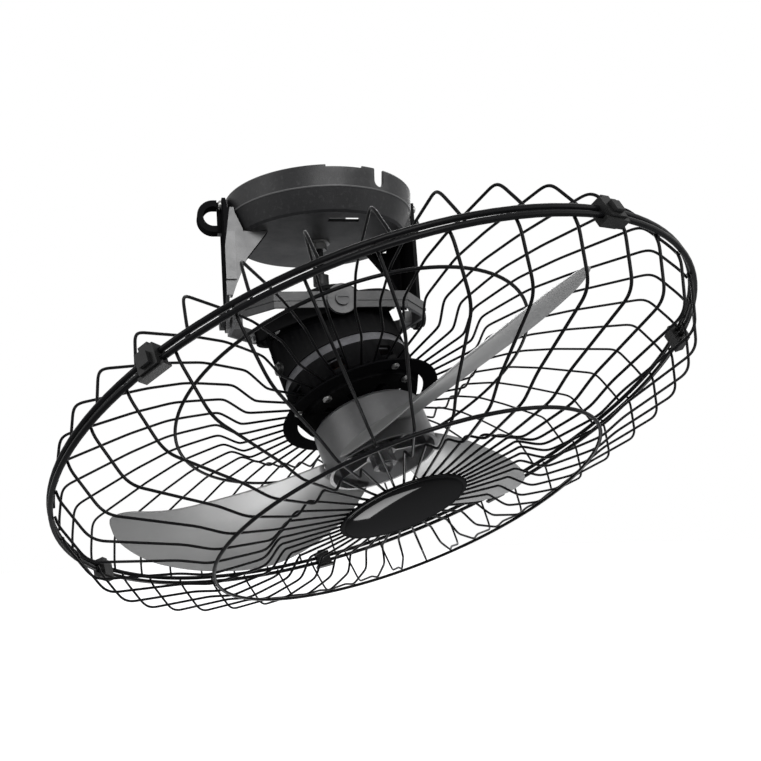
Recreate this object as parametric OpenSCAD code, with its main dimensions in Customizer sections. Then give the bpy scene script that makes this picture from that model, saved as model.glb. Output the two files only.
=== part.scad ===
// Orbital ceiling fan: a caged three-blade head that nods round in a circle under a round canopy.
// The origin is the centre of the canopy's top, against the ceiling, and +Z is up.
// The yoke's arms hang along X. The head is carried by a gimbal: the ring turns about Y in the
// yoke's frame, and the head turns about the ring's own X. Both axes cross at the gimbal centre.
// Lengths are millimetres and angles are degrees.

/* [Canopy] */
// Outer radius of the canopy against the ceiling
canopy_r = 77; // [74:0.5:84]
// How much narrower the canopy is at the end of its upright band
canopy_draft = 1.7; // [1:0.1:3]
// How much narrower still its flat underside is
canopy_taper = 5.8; // [4:0.1:9]
// Height of the upright band
canopy_band_h = 16; // [12:1:20]
// Height of the whole canopy
canopy_h = 33; // [31:1:40]
// Wall of the canopy
canopy_wall = 2.2; // [1.6:0.1:3]
// Room between the ceiling plate's ends and the canopy's wall
plate_room = 1.8; // [0.8:0.1:4]
// Width of the ceiling plate
plate_w = 46; // [40:1:60]
// Thickness of the ceiling plate
plate_t = 2.5; // [2:0.5:4]
// Distance between the two ceiling screw holes
mount_pitch = 90; // [60:1:110]
// Diameter of the ceiling screw holes
mount_hole_d = 6; // [5:0.5:8]
// Thickness of the plate's folded tabs
tab_t = 2; // [1.5:0.5:3]

/* [Yoke arms] */
// Distance from the ceiling down to the gimbal centre
drop = 98; // [92:1:120]
// Gap between the canopy's top edge and each arm
arm_gap = 0.3; // [0.1:0.1:3]
// Thickness of an arm's upright web
arm_t = 3; // [2.5:0.5:5]
// Radius of an arm's rounded lower end
arm_end_r = 9.5; // [8:0.5:11]
// How far the front plate of an arm lies to the side of the pivot
gusset_y = 28; // [24:0.5:30]
// Thickness of that front plate
gusset_t = 2.5; // [2:0.5:4]
// Width of that front plate under the canopy
gusset_w = 31; // [24:1:38]
// Height of that front plate
gusset_h = 51; // [36:1:56]
// Diameter of the screws that hold the arms to the canopy
arm_screw_d = 4; // [3:0.5:5]
// Length of the screws that hold the arms, under the head
arm_screw_l = 10; // [8:0.5:12]
// Radius of the knob that locks the canopy
knob_r = 6; // [5:0.5:7]
// Length of that knob
knob_l = 6.5; // [5:0.5:9]
// Reach of the hanging loop on the left arm
loop_l = 20; // [18:1:22]

/* [Gimbal] */
// Gap between the fixed frame's band and each arm
frame_gap = 1.3; // [1:0.1:3]
// Room between the moving ring and the frame's front and back
ring_room = 3.6; // [3.2:0.1:8]
// Half length of the frame's flat front
frame_flat = 50; // [46:1:54]
// Half length of the frame's flat sides
frame_side = 30; // [24:1:34]
// Height of the frame's band
frame_h = 12; // [10:1:16]
// Thickness of the frame's band
frame_t = 2.8; // [2.5:0.1:3.5]
// Radius of the round bosses on the frame's front and back
boss_r = 11.2; // [9:0.1:13]
// Outer radius of the moving ring
ring_r = 58; // [57.5:0.1:59]
// Radial thickness of the moving ring
ring_t = 4; // [3.5:0.1:4.4]
// Height of the moving ring
ring_h = 11; // [9:0.5:12]
// Diameter of the gimbal pins
pin_d = 4.9; // [4:0.1:6]
// Radial running clearance of pins, shafts and spindles
run_gap = 0.05; // [0.03:0.01:0.08]
// Angle that the head axis keeps from the vertical
tilt = 26.5; // [22:0.5:28]
// Turn of the ring about Y as photographed
ring_rest = -12.7; // [-20:0.1:20]

/* [Motor] */
// Room between the motor and the moving ring
motor_room = 3.6; // [3.2:0.1:6]
// Top of the motor's shoulder, below the gimbal centre
shoulder_z = 15.5; // [14.5:0.5:17]
// Height of the rear cover, from its shoulder to the stator band
rear_cover_h = 36.5; // [34:0.5:40]
// Height of the visible stator band
stack_gap = 7; // [5:0.5:9]
// Height of the front cover
front_cover_h = 28; // [24:0.5:34]
// Wall of the motor's two covers
shell_t = 3; // [2.5:0.1:3.5]
// Radius of the shaft
shaft_r = 4; // [3:0.1:5]
// Outer radius of the rotor core
core_r = 26.5; // [22:0.5:27]
// Room round the gears inside the gear case on top of the motor
gear_room = 3.5; // [2:0.1:4]
// Wall of the gear case
case_wall = 2.5; // [2:0.1:3]
// Top of the gear case above the gimbal centre
case_top = 4; // [3.5:0.5:6]
// Thickness of the gear case lid
lid_t = 3; // [2.5:0.5:4]

/* [Orbit gears] */
// Tooth module of the orbit gears
gear_m = 1; // [1:0.01:1.01]
// Teeth of each large gear
gear_teeth = 27; // [24:1:27]
// Teeth of each pinion
pinion_teeth = 6; // [6:1:7]
// Height of each gear
gear_t = 2.8; // [2:0.1:2.9]
// Distance from the gimbal centre to the crank ball
crank_reach = 24; // [22:0.5:26]
// Radius of the crank ball
ball_r = 3.2; // [2.5:0.1:3.5]
// Radius of the crank disc
crank_r = 15; // [14:0.5:17]
// Radius of the hanging stud
stud_r = 3; // [2.5:0.5:4]

/* [Propeller] */
// Outer radius of the hub bowl
hub_r = 42; // [38:0.5:46]
// Gap between the motor and the hub bowl
hub_gap = 9; // [6:0.5:12]
// Depth of the hub bowl
hub_h = 38; // [34:1:42]
// Wall of the hub bowl
hub_wall = 2.5; // [2:0.1:3.5]
// Tip radius of the blades
blade_r = 200; // [180:1:206]
// Number of blades
blade_count = 3; // [3:1:3]
// Thickness of a blade
blade_t = 2.2; // [1.8:0.1:3]
// Depth of a blade's leading edge below the hub bowl's back
blade_drop = 25; // [20:1:30]
// Depth of a blade from its leading edge to its trailing edge at mid span
blade_rise = 27; // [20:1:30]
// How far a blade bows out of the straight line between its edges
camber = 3; // [0:0.5:5]

/* [Guard] */
// Radius of the guard's rims
rim_r = 235; // [230:1:250]
// Depth of the rear rim below the motor's front face
rim_drop = 32.5; // [28:0.5:36]
// Distance between the two rims
rim_gap = 4.6; // [4.5:0.1:7]
// Diameter of the rim wires
rim_wire_d = 3.4; // [2.8:0.1:4.2]
// Diameter of the middle ring wires
mid_wire_d = 2.5; // [2:0.1:3.2]
// Diameter of the radial wires
wire_d = 1.8; // [1.4:0.1:2.4]
// Number of radial wires in each half
wire_count = 40; // [30:1:44]
// Turn of the rear wires about the head axis
rear_phase = 2.4; // [1.5:0.1:3.5]
// Radius of the middle rings
mid_r = 141; // [130:1:150]
// How far the wires lean in from the rims to the corners of the faces
corner_in = 9.5; // [6:0.5:16]
// Height of the rear half's side wall, from the rear rim
rear_side_h = 29.5; // [24:0.5:34]
// Rise of the rear face over its corner
rear_rise = 19.5; // [16:0.5:22]
// Height of the front half's side wall, from the front rim
front_side_h = 33.9; // [28:0.1:38]
// Rise of the front face over its corner
front_rise = 19.5; // [16:0.5:26]
// Radius of the cap
cap_r = 47.7; // [42:0.1:52]
// How far the cap's seat lies inside the front face
cap_in = 7.5; // [5:0.5:10]
// Width of a rim clip along the rim
clip_w = 13; // [10:1:14]

/* [Hidden] */
$fn = 96;
head_rest = -acos(cos(tilt) / cos(ring_rest));
crank_rest = atan2(cos(ring_rest) * sin(head_rest), -sin(ring_rest));
pin_r = pin_d / 2;
hole_r = pin_r + run_gap;
wire_r = wire_d / 2;
seat = 0.05;              // gap that keeps touching pieces from sinking into each other
canopy_step_r = canopy_r - canopy_draft;
canopy_floor_r = canopy_step_r - canopy_taper;
plate_r = canopy_r - canopy_wall - plate_room;
arm_x = canopy_r + arm_gap;
arm_out = arm_x + arm_t;
pad_y = [-8, 14];         // canopy pad behind an arm, from side to side
pad_h = 26;
pad_in = 12;              // depth of the pad behind the arm
arm_screw_y = [-4.5, 11.5];
arm_screw_z = 6;
knob_y = 3.5;
knob_z = 18;
plate_gap = 0.3;
stud_hole_r = stud_r + 0.3;
stud_boss_h = 4;          // height of the canopy's boss round the stud
stud_end = crank_reach + ball_r + 1.4;  // height of the stud's lower end over the gimbal centre
socket_r = 6.5;
socket_h = 8;
nut_r = 6.5;
nut_h = 5;
washer_r = 9;
washer_t = 1.6;
ring_in_r = ring_r - ring_t;
motor_r = ring_in_r - motor_room;
frame_x = arm_x - frame_gap;
frame_y = ring_r + ring_room + frame_t;
frame_ix = frame_x - frame_t;
frame_iy = frame_y - frame_t;
cham = [frame_x - frame_flat, frame_side - frame_y];
cham_n = [-cham[1], cham[0]] / norm(cham);
cham_d = cham_n * [frame_flat, frame_y] - frame_t;
frame_flat_in = (cham_d - cham_n[1] * frame_iy) / cham_n[0];
frame_side_in = (cham_d - cham_n[0] * frame_ix) / cham_n[1];
block_in = 6.5;           // depth of the threaded blocks inside the frame's sides
block_w = 12;
boss_out = 3;
ring_pad = 0.7;           // flat pads that stand out from the ring at its pins
frame_pad = frame_iy - ring_r - ring_pad - 0.5;
ear_out = ring_in_r - 4.5;
ear_in = ear_out - 6;
ear_r = 8;
ring_boss_r = pin_r + 2.85;
swing_r = ring_in_r - 0.8;            // what the ring clears as the head turns in it
swing_gap = 2.9;                      // room under the ring's edge as the head turns in it
neck_z = shoulder_z + 16;             // the shoulder is relieved for the ring down to here
cover_t = 2.5;
gear_floor = shoulder_z - cover_t;
stack_top = shoulder_z + rear_cover_h;
stack_bottom = stack_top + stack_gap;
motor_bottom = stack_bottom + front_cover_h;
stack_r = motor_r - 1;
bore_r = core_r + 0.5;
column_r = 4;                         // the columns that the cover screws pass through
column_at = motor_r - 3.4 - column_r;
winding_in = bore_r + 2.5;
winding_out = column_at - column_r - 1.5;
winding_h = 6;
core_over = 7;                        // how far the stator's core stands out of its band
bush_r = 8;
bush_l = 8;
gear_r = gear_m * gear_teeth / 2;
pinion_r = gear_m * pinion_teeth / 2;
gear_dist = gear_r + pinion_r;
case_in = gear_dist + gear_r + gear_room;
case_r = case_in + case_wall;
neck_r = case_r + 3.5;
lid_screw_at = case_in + case_wall / 2;
mesh_gap = 0.08;
spindle_r = 1.5;
crank_spindle_r = 4;
level = [for (k = [0:2]) -gear_floor + 1.5 + k * (gear_t + 1.1)];  // undersides of the gear stages
lid_z = case_top;
crank_z = lid_z + lid_t + 0.6;
crank_t = 3;
lay_1 = 30;                           // where the first layshaft stands about the head axis
lay_2 = lay_1 + 60;
ear_screw_r = motor_r + 4.6;
ear_screw_n = 4;
flange_in = motor_r + 0.4;
flange_out = ear_screw_r + 7;
flange_t = 1.5;
wire_in = flange_out - 2.4;
wire_in_z = motor_bottom - 3;
flange_top = wire_in_z + wire_r + seat;
hub_bore_r = shaft_r + 0.05;
sleeve_r = 11;
sleeve_l = 32;
hub_top = motor_bottom + hub_gap;
blade_lead_z = hub_top + blade_drop;
blade_trail_z = blade_lead_z + blade_rise;
rim_z = motor_bottom + rim_drop;
front_rim_z = rim_z + rim_gap;
wall_r = rim_r - rim_wire_d / 2 - wire_r - seat;
corner_r = rim_r - corner_in;
rear_corner_z = rim_z - rear_side_h;
rear_face_z = rear_corner_z - rear_rise;
front_corner_z = front_rim_z + front_side_h;
front_face_z = front_corner_z + front_rise;
cap_z = front_face_z - cap_in;
clip_phase = (rear_phase + 360 / wire_count) / 2;
clip_at = [5, 10, 17, 25, 32, 38] / 40;  // shares of a turn at which the clips stand
cap_h = 7;
plate_back_r = 34;
plate_back_t = 1.2;
front_in_z = cap_z - wire_r - 2 * seat;

// ---- frames of reference ----
module at_gimbal() translate([0, 0, -drop]) children();
module in_ring() at_gimbal() rotate([0, ring_rest, 0]) children();
module in_head() in_ring() rotate([head_rest, 0, 0]) children();
module both_sides() for (a = [0, 180]) rotate([0, 0, a]) children();
module around(n, start = 0) for (i = [0:n - 1]) rotate([0, 0, start + i * 360 / n]) children();
module along_x(x0, x1) translate([x0, 0, 0]) rotate([0, 90, 0]) linear_extrude(x1 - x0) children();
module along_y(y0, y1) translate([0, y0, 0]) rotate([-90, 0, 0]) linear_extrude(y1 - y0) children();
module tube(z0, z1, r, ri) translate([0, 0, z0]) difference() {
  cylinder(h = z1 - z0, r = r);
  translate([0, 0, -1]) cylinder(h = z1 - z0 + 2, r = ri);
}
module rod(z0, z1, r) translate([0, 0, z0]) cylinder(h = z1 - z0, r = r);

// A pan-head screw along +Z: the head's seat is at z = 0 and the shank goes down.
module screw(d, len, head_r, head_h) difference() {
  union() {
    translate([0, 0, -len]) cylinder(h = len + 0.2, d = d);
    cylinder(h = head_h * 0.6, r = head_r);
    translate([0, 0, head_h * 0.6]) cylinder(h = head_h * 0.4, r1 = head_r, r2 = head_r * 0.7);
  }
  for (a = [0, 90]) rotate([0, 0, a])
    translate([-head_r * 0.55, -0.4, head_h * 0.55]) cube([head_r * 1.1, 0.8, head_h]);
}

// ---- canopy ----
module ceiling_plate() color("#30302f") difference() {
  union() {
    intersection() {
      rod(-plate_t, 0, plate_r);
      translate([-plate_r, -plate_w / 2, -plate_t - 1]) cube([2 * plate_r, plate_w, plate_t + 2]);
    }
    // folded tabs that the canopy's pads are screwed against
    both_sides() translate([arm_x - pad_in - plate_gap - tab_t, pad_y[0] + 3, -pad_h])
      cube([tab_t, pad_y[1] - pad_y[0] - 6, pad_h - plate_t / 2]);
  }
  for (s = [-1, 1]) translate([s * mount_pitch / 2, 0, -plate_t - 1])
    cylinder(h = plate_t + 2, d = mount_hole_d);
  rod(-plate_t - 1, 1, 16);
  both_sides() translate([0, knob_y, -knob_z]) along_x(arm_x - pad_in - 5, arm_x) circle(r = 2.5);
}

module canopy_profile() polygon([
  [stud_hole_r, -canopy_h], [canopy_floor_r - 2, -canopy_h], [canopy_floor_r, -canopy_h + 1.5],
  [canopy_step_r, -canopy_band_h - 0.8], [canopy_step_r + 0.8, -canopy_band_h], [canopy_r, -1],
  [canopy_r - 0.6, 0], [canopy_r - canopy_wall, 0],
  [canopy_step_r - canopy_wall, -canopy_band_h],
  [canopy_floor_r - canopy_wall - 0.5, -canopy_h + canopy_wall], [stud_hole_r, -canopy_h + canopy_wall]]);

module canopy() color("#232323") difference() {
  union() {
    rotate_extrude() canopy_profile();
    both_sides() intersection() {
      translate([arm_x - pad_in, pad_y[0], -pad_h]) cube([pad_in - seat, pad_y[1] - pad_y[0], pad_h - plate_t - plate_gap]);
      rod(-canopy_h, 0, arm_x + 3);
    }
    translate([0, 0, -canopy_h]) tube(0, stud_boss_h, 12, stud_hole_r);
  }
  // cable notch, shallow sight notch and underside slot
  rotate([0, 0, -64]) translate([canopy_r - 6, 0, -9]) along_x(0, 12) circle(r = 4.6);
  rotate([0, 0, -64]) translate([canopy_r - 6, -4.6, -9]) cube([12, 9.2, 12]);
  rotate([0, 0, -86]) translate([canopy_r - 6, -14, -1.8]) cube([12, 28, 4]);
  translate([-3, -56, -canopy_h - 1]) cube([24, 8, 5]);
  both_sides() {
    for (y = arm_screw_y) translate([0, y, -arm_screw_z])
      along_x(arm_out - arm_screw_l - 0.5, arm_out) circle(d = arm_screw_d);
    translate([0, knob_y, -knob_z]) along_x(arm_x - pad_in - 1, arm_out) circle(r = 2.5);
  }
}

// One arm, on the +X side: an upright web, a tapering front plate with a lip, and an outer rib.
module arm() difference() {
  union() {
    along_x_web();
    translate([0, gusset_y - gusset_t, 0]) front_plate(gusset_t);
    translate([0, gusset_y - gusset_t - 6, 0]) front_lip(gusset_t + 6);
    translate([arm_out - 8, gusset_y - 1, -canopy_h - gusset_h + 12]) cube([8, 3, gusset_h - 13]);
  }
  translate([0, 0, -drop]) along_x(arm_x - 1, arm_out + 1) circle(r = hole_r);
  for (y = arm_screw_y) translate([0, y, -arm_screw_z])
    along_x(arm_x - 1, arm_out + 1) circle(d = arm_screw_d + 0.2);
  translate([0, knob_y, -knob_z]) along_x(arm_x - 1, arm_out + 1) circle(r = 2.5);
}
module along_x_web() translate([arm_x, 0, 0]) rotate([90, 0, 90]) linear_extrude(arm_t) union() {
  polygon([[-arm_end_r, -2], [pad_y[1] + 3, -2], [gusset_y, -canopy_band_h + 4],
    [gusset_y, -canopy_h - gusset_h * 0.75], [arm_end_r, -drop + 6], [arm_end_r, -drop], [-arm_end_r, -drop]]);
  translate([0, -drop]) circle(r = arm_end_r);
}
function lip_line(inset) = [[arm_out - gusset_w - arm_t + inset, -canopy_h - 0.3],
  [arm_out - gusset_w * 0.55 + inset, -canopy_h - gusset_h * 0.42],
  [arm_x - 6 + inset, -canopy_h - gusset_h * 0.78], [arm_x - 1.8 + inset, -canopy_h - gusset_h]];
module front_plate(t) translate([0, t, 0]) rotate([90, 0, 0]) linear_extrude(t)
  polygon(concat(lip_line(0), [[arm_out, -canopy_h - gusset_h], [arm_out, -canopy_band_h + 2],
    [beside_canopy(canopy_step_r + 0.8), -canopy_band_h + 2], [beside_canopy(canopy_step_r), -canopy_band_h - 2.5],
    [beside_canopy(canopy_floor_r + 0.5), -canopy_h + 1.4], [beside_canopy(canopy_floor_r + 0.5), -canopy_h - 0.3]]));
// Where a front plate runs past a round of this radius, with a gap
function beside_canopy(r) = sqrt(pow(r, 2) - pow(gusset_y - gusset_t, 2)) + 0.6;
module front_lip(t) translate([0, t, 0]) rotate([90, 0, 0]) linear_extrude(t)
  polygon(concat(lip_line(0), [for (i = [3:-1:0]) lip_line(2)[i]]));

module arm_left() color("#3a3a3a") rotate([0, 0, 180]) union() {
  arm();
  // hanging loop cast on the outside of the web, relieved beside the screw heads
  difference() {
    translate([arm_out - 0.5, knob_y + 8, -15]) rotate([90, 0, 0]) linear_extrude(11.5) difference() {
      union() {
        translate([0, -13]) square([loop_l - 13, 26]);
        translate([loop_l - 13, 0]) circle(r = 13);
      }
      translate([-14, -14]) square([14, 28]);
      translate([3.5, -8]) square([loop_l - 16.5, 16]);
      intersection() {
        translate([loop_l - 13, 0]) circle(r = 8);
        translate([3.5, -8]) square([loop_l, 16]);
      }
    }
    translate([arm_out - 1, knob_y + 3.7, -30]) cube([4.6, 6, 30]);
  }
}
module arm_right() color("#2b2b2b") arm();

module arm_screws() color("#8d8d8a") both_sides() for (y = arm_screw_y)
  translate([arm_out + seat, y, -arm_screw_z]) rotate([0, 90, 0]) screw(arm_screw_d, arm_screw_l, 3.6, 2.4);

module canopy_knob() color("#1c1c1c") translate([arm_out + seat, knob_y, -knob_z]) rotate([0, 90, 0]) {
  difference() {
    cylinder(h = knob_l, r = knob_r);
    around(12) translate([knob_r + 0.4, 0, -1]) cylinder(h = knob_l + 2, r = 0.9, $fn = 16);
  }
  translate([0, 0, -arm_t - pad_in]) cylinder(h = arm_t + pad_in + 0.5, r = 2.5 - seat);
}

// ---- fixed frame ----
module octagon(x, y, flat, side) polygon([[flat, y], [x, side], [x, -side], [flat, -y],
  [-flat, -y], [-x, -side], [-x, side], [-flat, y]]);

module gimbal_frame() color("#4a4a4a") at_gimbal() difference() {
  union() {
    difference() {
      translate([0, 0, -frame_h / 2]) linear_extrude(frame_h) octagon(frame_x, frame_y, frame_flat, frame_side);
      translate([0, 0, -frame_h]) linear_extrude(2 * frame_h)
        octagon(frame_ix, frame_iy, frame_flat_in, frame_side_in);
    }
    both_sides() {
      along_x(frame_x - 1, arm_x - seat) circle(r = 8);
      translate([frame_ix - block_in, -block_w / 2, -5]) cube([block_in + 1, block_w, 10]);
      along_y(frame_y - 1, frame_y + boss_out) circle(r = boss_r);
      along_y(frame_iy - frame_pad, frame_iy + 1) circle(r = ring_boss_r);
    }
    // stiffening bead round the band's front and sides
    difference() {
      translate([0, 0, -1]) linear_extrude(2)
        octagon(frame_x + 0.6, frame_y + 0.8, frame_flat + 0.3, frame_side + 0.3);
      translate([0, 0, -2]) linear_extrude(4) octagon(frame_x - 1, frame_y - 1, frame_flat, frame_side);
    }
  }
  along_x(-arm_out, arm_out) circle(r = pin_r);
  along_y(-frame_y - 5, frame_y + 5) circle(r = pin_r);
}

module frame_screws() color("#1d1d1d") at_gimbal() both_sides() {
  along_x(frame_ix - block_in + 0.5, arm_out + 0.5) circle(r = pin_r);
  difference() {
    along_x(arm_out + seat, arm_out + 4.5) circle(r = 7.3);
    translate([arm_out + 3, -5, -0.8]) cube([3, 10, 1.6]);
  }
}

module frame_pins() color("#7c7c7a") at_gimbal() both_sides() difference() {
  union() {
    along_y(ring_in_r + 0.4, frame_y + boss_out + 0.5) circle(r = pin_r);
    along_y(frame_y + boss_out + seat, frame_y + boss_out + 2.2) circle(r = 5.4);
  }
  translate([-4, frame_y + boss_out + 1.4, -0.6]) cube([8, 3, 1.2]);
}

module stud() color("#202020") {
  rod(-drop + stud_end, -drop + stud_end + socket_h, socket_r);
  rod(-drop + stud_end + socket_h - 1, -canopy_h + 14, stud_r);
}
module stud_nuts() color("#8d8d8a") for (up = [0, 1]) translate([0, 0, -canopy_h + up * stud_boss_h])
  mirror([0, 0, 1 - up]) {
    translate([0, 0, seat]) tube(0, washer_t, washer_r, stud_r + 0.05);
    translate([0, 0, 2 * seat + washer_t]) difference() {
      cylinder(h = nut_h, r = nut_r, $fn = 6);
      translate([0, 0, -1]) cylinder(h = nut_h + 2, r = stud_r + 0.05);
    }
  }

module capacitor() color("#d8d8d4") translate([-18, 26, -canopy_h + canopy_wall + seat]) union() {
  cube([36, 17, 22]);
  translate([36, 5, 0]) cube([8, 7, 2]);
}
module terminal_block() color("#e2e0d8") translate([-18, -46, -canopy_h + canopy_wall + seat]) difference() {
  cube([30, 14, 11]);
  for (i = [0:2]) translate([5 + 10 * i, 7, 4]) cylinder(h = 10, r = 2.6);
}

// ---- moving ring ----
module gimbal_ring() color("#2e2e2e") in_ring() difference() {
  union() {
    tube(-ring_h / 2, ring_h / 2, ring_r, ring_in_r);
    both_sides() {
      along_x(ear_out + 0.4, ring_r + ring_pad) circle(r = ring_boss_r);
      along_y(ring_r - 1, ring_r + ring_pad) circle(r = ring_boss_r);
    }
  }
  along_x(-ring_r - 5, ring_r + 5) circle(r = pin_r);
  along_y(-ring_r - 5, ring_r + 5) circle(r = hole_r);
}
module head_pins() color("#7c7c7a") in_ring() both_sides() difference() {
  union() {
    along_x(ear_in + 0.5, ring_r + ring_pad + 0.5) circle(r = pin_r);
    along_x(ring_r + ring_pad + seat, ring_r + ring_pad + 2.2) circle(r = 5);
  }
  translate([ring_r + ring_pad + 1.4, -4, -0.6]) cube([3, 8, 1.2]);
}

// ---- motor, in the head's own frame with its axis along Z ----
module rear_cover_solid() rotate_extrude() polygon([
  [bush_r, -shoulder_z - bush_l], [bush_r + 3.5, -shoulder_z - bush_l], [bush_r + 3.5, -shoulder_z - cover_t],
  [neck_r - 2, -shoulder_z - cover_t], [neck_r, -shoulder_z - cover_t - 2], [neck_r, -neck_z - 2],
  [motor_r - shell_t, -neck_z - 7], [motor_r - shell_t, -stack_top + 4], [stack_r + seat, -stack_top + 3],
  [stack_r + seat, -stack_top + seat], [motor_r, -stack_top + seat], [motor_r, -shoulder_z - 2],
  [motor_r - 2, -shoulder_z], [case_r, -shoulder_z], [case_r, case_top], [case_in, case_top],
  [case_in, -gear_floor], [bush_r, -gear_floor]]);

module rear_cover() color("#171717") in_head() difference() {
  union() {
    difference() {
      rear_cover_solid();
      // relief that lets the ring swing past the shoulder
      difference() {
        for (s = [-1, 1]) rotate([-s * tilt, 0, 0])
          translate([-motor_r - 5, s > 0 ? 0 : -70, -ring_h / 2 - swing_gap]) cube([2 * motor_r + 10, 70, 50]);
        sphere(r = swing_r);
      }
    }
    for (s = [-1, 1]) translate([s * (ear_in + ear_out) / 2, 0, 0]) {
      along_x(-(ear_out - ear_in) / 2, (ear_out - ear_in) / 2) circle(r = ear_r);
      translate([-(ear_out - ear_in) / 2, -ear_r, -shoulder_z - 0.5])
        cube([ear_out - ear_in, 2 * ear_r, shoulder_z + 0.5]);
    }
    // screw columns for the cover screws
    around(4, 45) translate([column_at, 0, -stack_top + 2]) cylinder(h = stack_top - neck_z - 4, r = column_r);
  }
  along_x(-ear_out - 2, ear_out + 2) circle(r = hole_r);
  around(4, 45) translate([column_at, 0, -stack_top + 1]) cylinder(h = 11, r = 1.8);
  for (a = [lay_1, lay_2]) rotate([0, 0, a]) translate([gear_dist, 0, -gear_floor - 1.7])
    cylinder(h = 5, r = spindle_r + run_gap);
  around(3, 10) translate([lid_screw_at, 0, case_top - 8]) cylinder(h = 9, r = 0.8, $fn = 24);
}

module gear_lid() color("#1f1f1f") in_head() difference() {
  union() {
    rod(lid_z + seat, lid_z + lid_t, case_r);
    rod(lid_z + lid_t - 0.5, lid_z + lid_t + 0.3, 8);
  }
  rod(lid_z - 1, lid_z + lid_t + 2, crank_spindle_r + run_gap);
  for (a = [lay_1, lay_2]) rotate([0, 0, a]) translate([gear_dist, 0, lid_z - 1])
    cylinder(h = 2.6, r = spindle_r + run_gap);
  around(3, 10) translate([lid_screw_at, 0, lid_z - 1]) cylinder(h = lid_t + 2, r = 0.95, $fn = 24);
}
module lid_screws() color("#8d8d8a") in_head() around(3, 10)
  translate([lid_screw_at, 0, lid_z + lid_t + seat]) screw(1.5, lid_t + 5, 1.9, 1.4);

module stator() color("#8f9193") in_head() difference() {
  union() {
    rod(-stack_bottom + seat, -stack_top - seat, stack_r);
    rod(-stack_bottom - core_over, -stack_top + core_over, motor_r - shell_t - 0.1);
  }
  rod(-stack_bottom - core_over - 1, -stack_top + core_over + 1, bore_r);
  around(12) translate([winding_in + 2.5, -2.5, -stack_bottom - core_over - 1])
    cube([column_at - winding_in - 4.5, 5, stack_gap + 2 * core_over + 2]);
  around(4, 45) translate([column_at, 0, -stack_bottom - core_over - 1])
    cylinder(h = stack_gap + 2 * core_over + 2, r = column_r + 0.2);
}
module windings() color("#9a5a2c") in_head() for (z = [-stack_top + core_over + 0.3, -stack_bottom - core_over - 0.3 - winding_h])
  translate([0, 0, z]) rotate_extrude() difference() {
    translate([winding_in, 0]) square([winding_out - winding_in, winding_h]);
    for (x = [winding_in, winding_out]) translate([x, winding_h / 2]) rotate([0, 0, 45]) square([0.8, 0.8], center = true);
  }

module front_cover() color("#171717") in_head() difference() {
  union() {
    rotate_extrude() polygon([
      [stack_r + seat, -stack_bottom - seat], [stack_r + seat, -stack_bottom - 3],
      [motor_r - shell_t, -stack_bottom - 4], [motor_r - shell_t, -motor_bottom + 12],
      [motor_r - shell_t - 4, -motor_bottom + 3], [bush_r + 3.5, -motor_bottom + 3],
      [bush_r + 3.5, -motor_bottom + bush_l], [bush_r, -motor_bottom + bush_l], [bush_r, -motor_bottom],
      [motor_r - 5, -motor_bottom], [motor_r, -motor_bottom + 10], [motor_r, -stack_bottom - seat]]);
    around(4, 45) translate([column_at, 0, -motor_bottom + 1.5]) cylinder(h = motor_bottom - stack_bottom - 3, r = column_r);
    // ears that the guard's flange is screwed to
    around(ear_screw_n, 20) translate([0, 0, -flange_top + seat]) {
      translate([ear_screw_r, 0, 0]) cylinder(h = 5, r = 4.2);
      translate([motor_r - 4.8, -4, 0.1]) cube([ear_screw_r - motor_r + 4.8, 8, 4.8]);
    }
  }
  around(4, 45) translate([column_at, 0, -motor_bottom - 1]) cylinder(h = motor_bottom, r = 1.8);
  around(ear_screw_n, 20) translate([ear_screw_r, 0, -flange_top - 1]) cylinder(h = 8, r = 1.5);
  // cooling windows in the side and in the face
  around(8, 22.5) translate([motor_r - 8, -6, -motor_bottom + 13]) cube([12, 12, 9]);
  around(8, 22.5) translate([18, -3.5, -motor_bottom - 1]) cube([15, 7, 5]);
}
module cover_screws() color("#8d8d8a") in_head() around(4, 45)
  translate([column_at, 0, -motor_bottom - seat]) mirror([0, 0, 1]) screw(3.4, motor_bottom - stack_top + 8, 3.4, 2.2);

module bushes() color("#b08d57") in_head() {
  tube(-shoulder_z - bush_l, -gear_floor - 0.5, bush_r, shaft_r + run_gap);
  tube(-motor_bottom + 0.3, -motor_bottom + bush_l, bush_r, shaft_r + run_gap);
}

module cable_gland() color("#0f0f0f") in_head() rotate([0, 0, 190]) translate([0, 0, -41])
  difference() {
    union() {
      intersection() {
        along_x(motor_r - 1, motor_r + 4) circle(r = 4.5);
        tube(-10, 10, motor_r + 10, motor_r + seat);
      }
      intersection() {
        along_x(motor_r - 1, motor_r + 1.6) circle(r = 6);
        tube(-10, 10, motor_r + 10, motor_r + seat);
      }
    }
    along_x(motor_r - 2, motor_r + 6) circle(r = 2);
  }

// ---- shaft, orbit gears and crank ----
module shaft() color("#b9bbbd") in_head() {
  rod(-hub_top - hub_h - 1, -shoulder_z + 0.5, shaft_r);
  rod(-shoulder_z, level[0] + gear_t, 1.8);
  translate([0, 0, level[0]]) toothed(pinion_teeth, gear_t);
}
module rotor_core() color("#6f7173") in_head() difference() {
  union() {
    tube(-stack_bottom - core_over, -stack_top + core_over, core_r, shaft_r);
    around(16) translate([core_r - 4, 0, -stack_bottom - core_over - 2])
      cylinder(h = stack_gap + 2 * core_over + 4, r = 1.4, $fn = 24);
  }
  translate([0, 0, -stack_bottom - core_over - 5]) cylinder(h = 2, r = core_r);
}

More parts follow.
